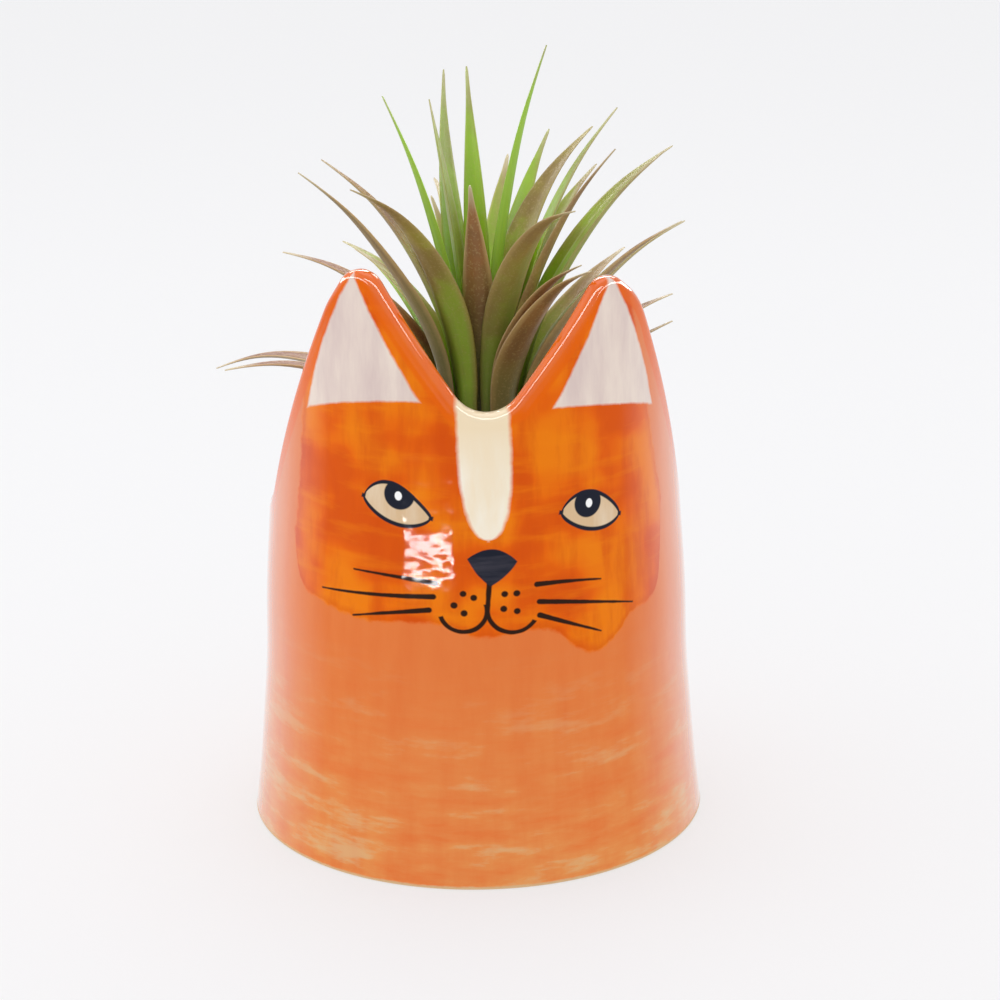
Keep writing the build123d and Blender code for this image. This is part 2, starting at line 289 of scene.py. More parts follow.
class Course:
    """A smooth line through points, leaving the first and reaching the last along given leans."""

    def __init__(self, points, first_lean, last_lean):
        self.points = [Vector(point) for point in points]
        gaps = [(b - a).length for a, b in zip(self.points, self.points[1:])]
        self.times = [sum(gaps[:step]) for step in range(len(self.points))]
        size = len(self.points)
        sides = np.zeros((size, size))
        wants = np.zeros((size, 3))
        sides[0, 0] = sides[-1, -1] = 1
        wants[0] = Vector(first_lean).normalized() * self.end_speed(0)
        wants[-1] = Vector(last_lean).normalized() * self.end_speed(-1)
        for step in range(1, size - 1):
            before, after = gaps[step - 1], gaps[step]
            sides[step, step - 1 : step + 2] = after, 2 * (before + after), before
            rise_before = (self.points[step] - self.points[step - 1]) / before
            rise_after = (self.points[step + 1] - self.points[step]) / after
            wants[step] = 3 * (after * rise_before + before * rise_after)
        self.speeds = [Vector(row) for row in np.linalg.solve(sides, wants)]
        marks = range(course_steps + 1)
        ends = [self.place_at(self.times[-1] * mark / course_steps)[0] for mark in marks]
        lengths = [0]
        for a, b in zip(ends, ends[1:]):
            lengths.append(lengths[-1] + (b - a).length)
        self.length = lengths[-1]
        self.length_shares = [length / self.length for length in lengths]

    def end_speed(self, end):
        """The speed at one end of a parabola through the three points there."""
        picks = (0, 1, 2) if end == 0 else (-1, -2, -3)
        here, near, far = (self.points[pick] for pick in picks)
        near_gap = abs(self.times[picks[1]] - self.times[picks[0]])
        far_gap = abs(self.times[picks[2]] - self.times[picks[0]])
        near_rise = (near - here) / near_gap
        far_rise = (far - here) / far_gap
        return ((near_rise * far_gap - far_rise * near_gap) / (far_gap - near_gap)).length

    def place_at(self, time):
        """The point and the direction at a time along the line."""
        step = 0
        while step < len(self.times) - 2 and time > self.times[step + 1]:
            step += 1
        gap = self.times[step + 1] - self.times[step]
        t = (time - self.times[step]) / gap
        a, b = self.points[step], self.points[step + 1]
        leave, reach = self.speeds[step] * gap, self.speeds[step + 1] * gap
        heading = (
            (a - b) * (6 * t**2 - 6 * t)
            + leave * (3 * t**2 - 4 * t + 1)
            + reach * (3 * t**2 - 2 * t)
        )
        return bent(a, leave, b, reach, t), heading.normalized()

    def at(self, share):
        """The point and the direction at a share of the line's length."""
        mark = float(np.interp(share, self.length_shares, range(course_steps + 1)))
        return self.place_at(self.times[-1] * mark / course_steps)


def eased(stations, share):
    """A value read smoothly between rising stations of (share, value)."""
    step = 0
    while step < len(stations) - 2 and share > stations[step + 1][0]:
        step += 1

    def slope(place):
        low = stations[max(place - 1, 0)]
        high = stations[min(place + 1, len(stations) - 1)]
        return (high[1] - low[1]) / (high[0] - low[0])

    (a, low), (b, high) = stations[step], stations[step + 1]
    gap = b - a
    return bent(low, slope(step) * gap, high, slope(step + 1) * gap, (share - a) / gap)


def tint(red, green, blue):
    """A colour socket's value for a colour mixed on screen, each part from 0 to 255."""
    return [((part / 255 + 0.055) / 1.055) ** 2.4 for part in (red, green, blue)]


def sums(operation, reflected=False):
    """A method that adds the Math node of one operation on two values."""

    def method(self, other):
        first, second = (other, self) if reflected else (self, other)
        return self.kiln.maths(operation, first, second)

    return method


class Wire:
    """A socket that gives a value, so that sums on it add the Math nodes that work it out."""

    def __init__(self, kiln, socket):
        self.kiln = kiln
        self.socket = socket

    __add__ = sums("ADD")
    __radd__ = sums("ADD", True)
    __sub__ = sums("SUBTRACT")
    __rsub__ = sums("SUBTRACT", True)
    __mul__ = sums("MULTIPLY")
    __rmul__ = sums("MULTIPLY", True)
    __truediv__ = sums("DIVIDE")
    __rtruediv__ = sums("DIVIDE", True)
    __pow__ = sums("POWER")
    least = sums("MINIMUM")
    most = sums("MAXIMUM")

    def __abs__(self):
        return self.kiln.maths("ABSOLUTE", self)

    def above(self, level, softness):
        """1 where this is over a level and 0 under it, with a soft step between."""
        return self.kiln.maths("ADD", (self - level) / softness, 0.5, held=True)

    def below(self, level, softness):
        """1 where this is under a level and 0 over it, with a soft step between."""
        return self.kiln.maths("ADD", (level - self) / softness, 0.5, held=True)


class Kiln:
    """Makes one material's nodes."""

    def __init__(self, name):
        self.material = bpy.data.materials.new(name)
        self.material.use_nodes = True
        self.tree = self.material.node_tree
        self.tree.nodes.clear()

    def node(self, kind, settings=None, sockets=None, output=0):
        """Adds a node: its settings first, then its sockets; gives the wire of one output."""
        node = self.tree.nodes.new(kind)
        for name, value in (settings or {}).items():
            if name == "bends":
                points = node.mapping.curves[0].points
                while len(points) < len(value):
                    points.new(0.5, 0.5)
                for point, place in zip(points, value):
                    point.location = place
                node.mapping.update()
            else:
                setattr(node, name, value)
        for name, value in (sockets or {}).items():
            if isinstance(value, Wire):
                self.tree.links.new(value.socket, node.inputs[name])
            elif node.inputs[name].type == "RGBA":
                node.inputs[name].default_value = (*value[:3], 1)
            else:
                node.inputs[name].default_value = value
        return Wire(self, node.outputs[output]) if len(node.outputs) else None

    def maths(self, operation, first, second=0.0, held=False):
        settings = {"operation": operation, "use_clamp": held}
        return self.node("ShaderNodeMath", settings, {0: first, 1: second})

    def blend(self, under, over, share):
        """The first colour covered by the second as far as the share says."""
        settings = {"data_type": "RGBA", "clamp_factor": True}
        return self.node("ShaderNodeMix", settings, {0: share, 6: under, 7: over}, output=2)

    def noise(self, place, scale, detail, roughness):
        sockets = {"Vector": place, "Scale": scale, "Detail": detail, "Roughness": roughness}
        return self.node("ShaderNodeTexNoise", {}, sockets)

    def layered(self, colour, layers):
        """A colour with others laid over it in turn, each with its share."""
        for over, share in layers:
            colour = self.blend(colour, over, share)
        return colour

    def place(self):
        """The place on the piece, in metres."""
        return self.node("ShaderNodeTexCoord", output=3)

    def bump(self, height, strength, distance):
        sockets = {"Height": height, "Strength": strength, "Distance": distance}
        return self.node("ShaderNodeBump", {}, sockets)

    def drawn(self, place, scale, detail=4, roughness=0.6):
        """Noise at its own scale in each direction, so that it is drawn out."""
        place = self.node("ShaderNodeMapping", {}, {"Vector": place, "Scale": scale})
        return self.noise(place, 1, detail, roughness)

    def parts(self, place):
        """The three numbers of a place."""
        node = self.tree.nodes.new("ShaderNodeSeparateXYZ")
        self.tree.links.new(place.socket, node.inputs[0])
        return [Wire(self, socket) for socket in node.outputs]

    def attribute(self, name):
        return self.node("ShaderNodeAttribute", {"attribute_name": name}, output=2)

    def finish(self, sockets):
        """The surface shader and the material's output."""
        shader = self.node("ShaderNodeBsdfPrincipled", {}, sockets)
        self.node("ShaderNodeOutputMaterial", {}, {"Surface": shader})
        return self.material


def joined(distances):
    """The join of several shapes."""
    shape = distances[0]
    for distance in distances[1:]:
        shape = shape.most(distance)
    return shape


class Canvas:
    """Shapes on a flat map, each as a distance in millimetres that is over 0 inside the shape."""

    def __init__(self, kiln, across, up):
        self.kiln = kiln
        self.across = across
        self.up = up

    def placed(self, spot, lean=0.0):
        """How far along and over a leaning line through a spot."""
        x = self.across - spot[0]
        y = self.up - spot[1]
        return x * cos(lean) + y * sin(lean), y * cos(lean) - x * sin(lean)

    def measured(self, start, end):
        """The length of a line, and how far along and over it."""
        run, rise = end[0] - start[0], end[1] - start[1]
        return hypot(run, rise), *self.placed(start, atan2(rise, run))

    def oval(self, spot, half_width, half_height):
        x, y = self.placed(spot)
        return (1 - ((x / half_width) ** 2 + (y / half_height) ** 2) ** 0.5) * half_height

    def left_of(self, start, end, bow=0):
        """The left side of a line, whose middle may bow out to its right."""
        length, along, over = self.measured(start, end)
        share = along / length
        return over + share * (1 - share) * (4 * bow)

    def triangle(self, a, b, c, bows):
        """The inside of three sides, each of which may bow out."""
        shape = self.left_of(a, b, bows[0]).least(self.left_of(b, c, bows[1]))
        return shape.least(self.left_of(c, a, bows[2]))

    def stroke(self, start, end, width, thin, sag=0.0):
        """A brush stroke that starts full and thins out to a share of its width."""
        length, along, over = self.measured(start, end)
        share = self.kiln.maths("DIVIDE", along, length, held=True)
        over = over + share * (1 - share) * (4 * sag)
        gap = ((along - share * length) ** 2 + over**2) ** 0.5
        return (1 - share * (1 - thin)) * (width / 2) - gap

    def arc(self, spot, radius, width):
        x, y = self.placed(spot)
        return width / 2 - abs((x**2 + y**2) ** 0.5 - radius)

    def lids(self, outer, inner, upper, lower):
        """The opening between two lids that meet in both corners."""
        length, along, over = self.measured(outer, inner)
        share = along / (length / 2) - 1
        arch = (1 - share**2).most(0) ** 0.7
        top = arch * (1 + share * upper[1]) * upper[0]
        bottom = arch * (1 + share * lower[1]) * lower[0]
        return (top - over).least(over + bottom).least((1 - abs(share)) * (length / 2))


def meshed(name, shell, material):
    """Turns a bmesh into an object in the scene."""
    mesh = bpy.data.meshes.new(name)
    shell.to_mesh(mesh)
    shell.free()
    mesh.materials.append(material)
    thing = bpy.data.objects.new(name, mesh)
    bpy.context.scene.collection.objects.link(thing)
    return thing


def settled(name, shell, material, body, replaced, smooth=True):
    """Turns a bmesh into a finished piece with its body, slot and replaced node."""
    piece = meshed(name, shell, material)
    for polygon in piece.data.polygons:
        polygon.use_smooth = smooth
    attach(piece, body)
    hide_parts(replaced)


def chained(shell, places):
    """A chain of vertices joined by edges."""
    verts = [shell.verts.new(place) for place in places]
    for a, b in zip(verts, verts[1:]):
        shell.edges.new((a, b))
    return verts


def spun(shell, steps):
    """Turns a section round the upright axis."""
    bmesh.ops.spin(
        shell, geom=shell.verts[:] + shell.edges[:], cent=(0, 0, 0), axis=(0, 0, 1), dvec=(0, 0, 0),
        angle=2 * pi, steps=steps, use_merge=True, use_duplicate=False,
    )


class RimLine:
    """The rim laid flat round the middle of the wall: height and slope at a distance."""

    def __init__(self, middle_radius):
        corners = [
            (Vector((middle_radius * radians(angle), rim_height + rise)), radius)
            for angle, rise, radius in rim_corners
        ]
        self.arcs = []
        for (before, _), (here, radius), (after, _) in zip(corners, corners[1:], corners[2:]):
            back = (before - here).normalized()
            ahead = (after - here).normalized()
            half = back.angle(ahead) / 2
            reach = radius / np.tan(half)
            centre = here + (back + ahead).normalized() * (radius / sin(half))
            self.arcs.append((here + back * reach, centre, radius, here + ahead * reach))
        self.first = corners[0][0]
        self.last = corners[-1][0]

    def at(self, distance):
        """The height and the slope's angle at a distance round from the front."""
        start = self.first
        for enter, centre, radius, leave in self.arcs:
            if distance < enter.x:
                return self.straight(start, enter, distance)
            if distance < leave.x:
                across = distance - centre.x
                up = sqrt(max(radius**2 - across**2, 0))
                side = 1 if enter.y + leave.y > 2 * centre.y else -1
                return centre.y + side * up, atan2(-side * across, up)
            start = leave
        return self.straight(start, self.last, distance)

    def straight(self, a, b, distance):
        run = b - a
        return a.y + run.y * (distance - a.x) / run.x, atan2(run.y, run.x)


def dimension(name, description, default):
    """A length setting, in metres."""
    return FloatProperty(name=name, description=description, default=default, unit="LENGTH")


def paint(name, description, *mixed):
    """A colour setting, its default mixed on screen with each part from 0 to 255."""
    return FloatVectorProperty(
        name=name, description=description, default=tint(*mixed), subtype="COLOR"
    )


class PotSettings(bpy.types.PropertyGroup):
    base_radius: dimension("Foot radius", "Radius of the foot", pot_high.x)
    wall: dimension("Wall", "Thickness of the wall", 4.8 * mm)
    columns: IntProperty(
        name="Columns", description="Steps round the turned wall", default=480, min=48
    )
    base_coat: paint("Base coat", "Thin glaze over the body", 233, 127, 64)
    base_thin: paint("Base coat, wiped", "Base coat where it is wiped thin", 234, 162, 92)
    base_deep: paint("Base coat, run", "Base coat where it runs together", 228, 114, 54)
    face_coat: paint("Face coat", "Thick orange on the face", 236, 102, 0)
    face_deep: paint("Face coat, double", "Face coat where strokes cross", 214, 76, 0)
    face_thin: paint("Face coat, thin", "Face coat where the brush dries", 246, 136, 10)
    ear_inside: paint("Ear insides", "Pale triangles in the ears", 240, 224, 212)
    ear_thin: paint("Ear insides, thin", "Ear paint brushed thin", 222, 202, 196)
    cream: paint("Cream", "Stripe on the forehead and lining", 255, 248, 232)
    cream_thin: paint("Cream, thin", "Cream that lets the body through", 248, 228, 194)
    eye: paint("Eyes", "Whites of the eyes", 222, 190, 150)
    ink: paint("Ink", "Nose, lids and pupils", 28, 32, 46)
    ink_thin: paint("Ink, thin", "Ink where the brush dries", 66, 64, 74)
    line: paint("Lines", "Mouth, whiskers and dots", 44, 24, 12)
    clay: paint("Clay", "Bare clay", 222, 186, 140)


class PlantSettings(bpy.types.PropertyGroup):
    leaf_length: dimension("Leaf length", "Length of a full leaf", 100 * mm)
    leaf_width: dimension("Leaf width", "Width of a full leaf", 10.4 * mm)
    leaf_thickness: dimension("Leaf thickness", "Thickness at a leaf's keel", 1.1 * mm)
    rings: IntProperty(name="Rings", description="Steps along a leaf", default=30, min=8)
    crumbs: IntProperty(name="Crumbs", description="Crumbs on the soil", default=520, min=0)
    brown: paint("Brown", "Body of the brown leaves", 128, 96, 70)
    green: paint("Green", "Body of the green leaves", 150, 176, 66)
    olive: paint("Olive", "Body of the olive leaves", 162, 162, 84)
    tan: paint("Tan", "Streaks on the duller leaves", 178, 148, 82)
    lime: paint("Lime", "Lit lower half of the inner leaves", 160, 218, 18)
    grass: paint("Grass", "Streaks in the lime", 106, 190, 44)
    russet: paint("Russet", "Upper half and margins", 158, 86, 50)
    plum: paint("Plum", "Clouds in the russet", 112, 58, 48)
    # Umber at the leaves' bases: partly their own colour, partly painted shade.
    umber: paint("Umber", "Base of the front leaves", 60, 34, 30)
    # Dark foot of every leaf: partly its own colour, partly painted shade where the feet crowd into the
    # crown.
    moss_and_shade: paint("Moss", "Foot of every leaf", 40, 44, 22)
    straw: paint("Straw", "Dry edges", 222, 184, 128)
    fleck: paint("Fleck", "Small pale flecks", 206, 176, 122)
    tip: paint("Tip", "Pale tips", 222, 208, 172)
    sage: paint("Sage", "Veil on the backs", 150, 158, 96)
    soil_dark: paint("Soil", "Damp peat", 46, 32, 22)
    soil_pale: paint("Soil, dry", "Dry peat", 92, 66, 44)
    soil_grain: paint("Soil grains", "Pale grains in the peat", 150, 120, 86)


class StageSettings(bpy.types.PropertyGroup):
    floor_size: dimension("Floor", "Side of the floor", 6.0)
    floor_glow: FloatProperty(
        name="Floor glow", description="Light from the lit floor itself", default=0.55
    )
    surround: FloatProperty(
        name="Surround", description="Strength of the light from all round", default=0.87
    )


class Wall:
    """The outside of the pot's wall: its radius at each height."""

    def __init__(self, foot_radius):
        flare = [
            (foot_radius - waist_inset * (1 - radial), 0, flare_height * height)
            for height, radial in flare_shares
        ]
        shoulder = (foot_radius - shoulder_inset, 0, rim_height)
        crown = (foot_radius - crown_inset, 0, rim_height + crown_rise)
        foot_lean = Vector(flare[1]) - Vector(flare[0])
        crown_lean = Vector(crown) - Vector(shoulder)
        self.course = Course([*flare, shoulder, crown], foot_lean, crown_lean)
        self.steps = {}

    def exact_radius(self, height):
        share = height / (rim_height + crown_rise)
        for _ in range(6):
            place, heading = self.course.at(min(max(share, 0), 1))
            share += (height - place.z) / (heading.z * self.course.length)
        return place.x

    def radius(self, height):
        """The radius, read between steps of half a millimetre."""
        step = 0.5 * mm
        low = int(height / step)
        for place in (low, low + 1):
            if place not in self.steps:
                self.steps[place] = self.exact_radius(place * step)
        share = height / step - low
        return self.steps[low] * (1 - share) + self.steps[low + 1] * share


def pot_section(pot, wall):
    """The section from the middle of the foot, over the rim, to the middle of the floor.

    Each place is its radius, its height, its share up the rim or -1 off it, and its turn over the lip.
    """
    heights = [
        split_height * (step / wall_steps) ** foot_crowding for step in range(1, wall_steps)
    ]
    recess_radius = pot.base_radius - foot_ring_width
    outer = [(recess_radius * share, foot_recess_depth) for share in (0, 0.5, 0.9, 0.99)]
    outer += [(recess_radius, foot_recess_depth - recess_bevel), (recess_radius, foot_bevel)]
    outer += [(recess_radius + foot_bevel, 0), (pot.base_radius - foot_edge_radius, 0)]
    outer += [
        (
            pot.base_radius - foot_edge_radius * (1 - sin(turn)),
            foot_edge_radius * (1 - cos(turn)),
        )
        for turn in (radians(25), radians(50), radians(72))
    ]
    outer += [(wall.radius(height), height) for height in heights if height > foot_edge_radius]
    corner_top = floor_thickness + floor_corner_radius
    corner_radius = wall.exact_radius(corner_top) - pot.wall
    inner = [
        (wall.radius(height) - pot.wall, height)
        for height in reversed(heights)
        if height > corner_top + 1 * mm
    ]
    inner += [
        (
            corner_radius - floor_corner_radius * (1 - cos(radians(turn))),
            corner_top - floor_corner_radius * sin(radians(turn)),
        )
        for turn in range(0, 91, 18)
    ]
    inner += [(corner_radius * share, floor_thickness) for share in (0.8, 0.4, 0)]
    edge = pot.base_radius - shoulder_inset
    rim = [(edge, split_height, step / rim_steps, 0) for step in range(rim_steps)]
    rim += [
        (edge - pot.wall / 2, split_height, 1, step / lip_steps) for step in range(lip_steps + 1)
    ]
    rim += [
        (edge - pot.wall, split_height, 1 - step / rim_steps, 1)
        for step in range(1, rim_steps + 1)
    ]
    return [(*place, -1, 0) for place in outer] + rim + [(*place, -1, 1) for place in inner]


def turned_pot(pot):
    """The pot in one shell: a turned section whose upper part is moved onto the rim line."""
    wall = Wall(pot.base_radius)
    places = pot_section(pot, wall)
    shell = bmesh.new()
    share_layer = shell.verts.layers.float.new("rim_share")
    turn_layer = shell.verts.layers.float.new("lip_turn")
    verts = chained(shell, [(radius, 0, height) for radius, height, *_ in places])
    for vert, (_, _, share, turn) in zip(verts, places):
        vert[share_layer] = share
        vert[turn_layer] = turn
    spun(shell, pot.columns)
    middle = pot.base_radius - shoulder_inset - pot.wall / 2
    rim_line = RimLine(middle)
    lip_radius = pot.wall * lip_share
    flat = pot.wall / 2 - lip_radius
    crest_layer = shell.verts.layers.float.new("below_crest")
    inside_layer = shell.verts.layers.float.new("inside")
    for vert in shell.verts:
        share = vert[share_layer]
        turn = vert[turn_layer]
        distance = atan2(vert.co.x, -vert.co.y) * middle
        crest, slope = rim_line.at(distance)
        vert[inside_layer] = turn
        if share < 0:
            vert[crest_layer] = (crest - vert.co.z) * cos(slope) / mm
            continue
        if share < 1:
            bottom = crest - cos(slope) * lip_radius
            height = split_height + (bottom - split_height) * share
            along = sin(slope) * lip_radius * share
            radius = wall.radius(height) - pot.wall * turn
            fall = (crest - height) * cos(slope)
        else:
            swing = pi * turn
            fall = lip_radius * (1 - sin(swing))
            height = crest - cos(slope) * fall
            along = sin(slope) * fall
            reach = flat + lip_radius * abs(cos(swing))
            radius = wall.radius(height) - pot.wall / 2 + (reach if turn < 0.5 else -reach)
        angle = (distance + along) / middle
        vert[crest_layer] = fall / mm
        vert.co = (radius * sin(angle), -radius * cos(angle), height)
    bmesh.ops.remove_doubles(shell, verts=shell.verts, dist=1e-6)
    bmesh.ops.recalc_face_normals(shell, faces=shell.faces)
    return shell


def leaf_course(tier, heading, length, rise, tip_rise, bend):
    """The midrib of a leaf, and the level directions across it and outwards."""
    core = crown_top_radius + crown_step_width * (tier_count - 1 - tier)
    outwards = Vector((sin(radians(heading)), -cos(radians(heading)), 0))
    across = Vector((outwards.y, -outwards.x, 0))
    ledge = crown_base_height + crown_base_thickness + crown_step_height * tier
    foot = Vector((stem_offset, 0, ledge)) + outwards * (core + crown_step_width / 2)
    hub = Vector((stem_offset, 0, leaf_hub_height))

    def place(share):
        fallen = ((share - leaf_rise_share) / (1 - leaf_rise_share)) ** 2
        angle = radians(rise - (rise - tip_rise) * fallen)
        level = outwards * (length * share * cos(angle)) + across * (bend * share**2)
        return hub + level + Vector((0, 0, length * share * sin(angle)))

    points = [foot, place(leaf_rise_share), *[place(share) for share in leaf_fall_shares]]
    return Course(points, (0, 0, 1), place(1) - place(leaf_tip_share)), across, outwards


def leaf_shell(plant, tier, heading, length_share, rise, tip_rise, bend_share, width_share, *tones):
    """One leaf: a tube of rings pressed into a channelled blade along its midrib."""
    length = plant.leaf_length * length_share
    bend = plant.leaf_length * bend_share
    course, across, outwards = leaf_course(tier, heading, length, rise, tip_rise, bend)
    width = plant.leaf_width * width_share
    widths = [(0, leaf_foot_width)] + [(share, width * part) for share, part, _ in leaf_stations]
    widths += [(1, leaf_tip_width)]
    depths = [(0, plant.leaf_thickness)]
    depths += [(share, plant.leaf_thickness * part) for share, _, part in leaf_stations]
    depths += [(1, leaf_tip_width / 2)]
    shell = bmesh.new()
    bmesh.ops.create_cone(
        shell, cap_ends=True, cap_tris=False, segments=leaf_sides, radius1=1, radius2=1, depth=1
    )
    sides = [edge for edge in shell.edges if abs(edge.verts[0].co.z - edge.verts[1].co.z) > 0.5]
    bmesh.ops.subdivide_edges(shell, edges=sides, cuts=plant.rings, use_grid_fill=True)
    layers = [shell.verts.layers.float.new(name) for name in leaf_layers]
    for vert in shell.verts:
        share = 1 - (0.5 - vert.co.z) ** tip_crowding
        turn = atan2(vert.co.y, vert.co.x)
        place, lean = course.at(share)
        sideways = (across - lean * across.dot(lean)).normalized()
        away = lean.cross(sideways)
        part = cos(turn)
        blade = eased(widths, share)
        depth = eased(depths, share)
        if share > 0.999:
            blade = blade * 0.5
        keel = depth / 2 - blade * leaf_channel_share * part**2
        drop = depth * sqrt(max(1 - part**2, 0)) if sin(turn) > 0 else 0
        vert.co = place + sideways * (part * blade / 2) + away * (keel - drop)
        values = (share, part, 1 if sin(turn) > 0 else 0, *tones)
        for layer, value in zip(layers, values):
            vert[layer] = value
    foot, _ = course.at(0)
    size = Vector((tongue_width, tongue_thickness, tongue_depth + tongue_thickness))
    centre = foot + Vector((0, 0, (tongue_thickness - tongue_depth) / 2))
    turned = Matrix((across, outwards, (0, 0, 1))).transposed().to_4x4()
    place = Matrix.Translation(centre) @ turned @ Matrix.Diagonal((*size, 1))
    bmesh.ops.create_cube(shell, size=1, matrix=place)
    bmesh.ops.recalc_face_normals(shell, faces=shell.faces)
    return shell


def glaze_material(pot):
    """The pot's paint: base coat, face, ears, forehead stripe, eyes, nose, mouth and whiskers."""
    kiln = Kiln("painted_glaze")
    place = kiln.place()
    x, y, z = kiln.parts(place)
    across = kiln.maths("ARCTAN2", x, 0 - y) * map_radius
    up = z / mm
    canvas = Canvas(kiln, across, up)
    flat = kiln.node("ShaderNodeCombineXYZ", {}, {"X": across, "Y": up, "Z": z})
    inside = kiln.attribute("inside")
    below_crest = kiln.attribute("below_crest")
    front = y.below(0, 2 * mm)

    def painted(under, over, shape, softness=0.3):
        """A colour with another over it inside a shape on the front."""
        return kiln.blend(under, over, shape.above(0, softness) * front)

    # Base coat: runs and wiped streaks, thinner and more tan towards the foot.
    wiped = kiln.drawn(place, (35, 35, 160), 5, 0.65)
    runs = kiln.drawn(place, (140, 140, 30))
    low = up.below(32, 60)
    base = kiln.layered(pot.base_coat, (
        (pot.base_thin, wiped.above(0.5, 0.3) * low),
        (pot.base_deep, runs.above(0.56, 0.3) * 0.5),
        (pot.clay, wiped.above(0.61, 0.12) * low * 0.6),
    ))

    # Face coat: brushed on thickly, with an uneven edge.
    bends = [((far + 60) / 120, high / 120) for far, high in patch_bottom]
    edge = kiln.node("ShaderNodeFloatCurve", {"bends": bends}, {"Value": (across + 60) / 120})
    wobble = (kiln.noise(place, 300, 3, 0.6) - 0.5) * 2.4
    patch = (up - edge * 120).least(canvas.left_of((-50.5, 119), (-53.5, 85.5)))
    patch = patch.least(canvas.left_of((52.5, 91), (46.5, 118))) + wobble
    upright = kiln.drawn(flat, (0.16, 0.03, 1))
    level = kiln.drawn(flat, (0.04, 0.22, 1))
    blots = kiln.drawn(flat, (0.045, 0.05, 1), 2, 0.5)
    coat = kiln.layered(pot.face_coat, (
        (pot.face_thin, blots.above(0.53, 0.12) * 0.75),
        (pot.face_deep, blots.below(0.45, 0.1) * 0.6),
        (pot.face_deep, upright.above(0.54, 0.2) * 0.55),
        (pot.face_thin, level.above(0.6, 0.16) * 0.4),
        (pot.face_deep, patch.below(1.6, 1.6) * patch.above(0.3, 0.6) * 0.35),
    ))
    colour = painted(base, coat, patch, 0.9)
    colour = kiln.blend(colour, pot.face_coat, below_crest.below(3.4, 0.8) * 0.8)

    # Ear insides, thinly brushed.
    pale = kiln.blend(pot.ear_inside, pot.ear_thin, upright.above(0.5, 0.3))
    insides = joined([canvas.triangle(*ear) for ear in ears])
    colour = painted(colour, pale, insides + wobble * 0.35, 0.7)

    # Forehead stripe: from the notch down to a round tip above the nose.
    climb = kiln.maths("DIVIDE", up - stripe_tip, 34.0, held=True)
    reach = (1 - (1 - climb) ** 4) ** 0.5 * stripe_reach
    stripe = reach - abs(across - (0.4 - climb * 1.1)) + wobble * 0.4
    cream = kiln.layered(pot.cream, (
        (pot.cream_thin, runs.above(0.52, 0.25) * 0.7),
        (pot.cream_thin, up.above(114, 12)),
    ))
    colour = painted(colour, cream, stripe.least(up - stripe_tip), 1.1)

    # Mouth, whiskers and dots, then eyes and nose.
    strokes = [
        canvas.arc((-5.6, 73.6), 5.4, 1.1).least(canvas.left_of((0.2, 75.5), (-11, 72))),
        canvas.arc((5.8, 73.6), 5.9, 1.1).least(canvas.left_of((11.5, 70), (-0.4, 75.5))),
        canvas.stroke((0.4, 80.5), (-0.1, 73.5), 1.2, 0.9),
    ]
    strokes += [canvas.stroke(start, end, 1.4, 0.3, sag) for start, end, sag in whiskers]
    strokes += [canvas.oval(spot, 0.8, 0.8) for spot in cheek_dots]
    opening = joined([canvas.lids(*eye[:4]) for eye in eyes])
    pupils = joined([canvas.oval(eye[4], *eye[5]) for eye in eyes])
    shines = joined([canvas.oval(eye[6], 0.9, 1.15) for eye in eyes])
    eye_white = kiln.blend(pot.eye, pot.cream, upright.above(0.6, 0.3) * 0.4)
    nose_coat = kiln.blend(pot.ink, pot.ink_thin, level.above(0.5, 0.15) * 0.7)
    colour = painted(colour, pot.line, joined(strokes) + wobble * 0.12)
    colour = painted(colour, pot.ink, opening + 0.55 + wobble * 0.08)
    colour = painted(colour, eye_white, opening - 0.5)
    colour = painted(colour, pot.ink, pupils.least(opening + 0.55))
    colour = painted(colour, nose_coat, canvas.triangle(*nose) + wobble * 0.12)
    colour = painted(colour, (1, 1, 1), shines, 0.25)

    # Inside the pot, and bare clay under the foot.
    lining = kiln.blend(pot.cream, pot.cream_thin, runs.above(0.5, 0.3))
    bare = (up + wobble * 0.3).below(0.9, 0.5)
    colour = kiln.layered(colour, ((lining, inside.above(0.9, 0.12)), (pot.clay, bare)))
    turned_away = kiln.node("ShaderNodeLayerWeight", {}, {"Blend": 0.5}, output=1)
    coated = turned_away.above(0.48, 0.3).most(below_crest.below(1.8, 0.8) * 0.5)
    return kiln.finish(
        {
            "Base Color": colour,
            "Roughness": runs.above(0.5, 0.5) * 0.03 + 0.03 + bare * 0.6,
            "Normal": kiln.bump(kiln.noise(place, 100, 2, 0.5), 0.22, 0.7 * mm),
            "Specular IOR Level": 0.09,
            "Coat Weight": coated * (1 - bare),
            "Coat IOR": 1.85,
            "Coat Roughness": 0.03,
        }
    )


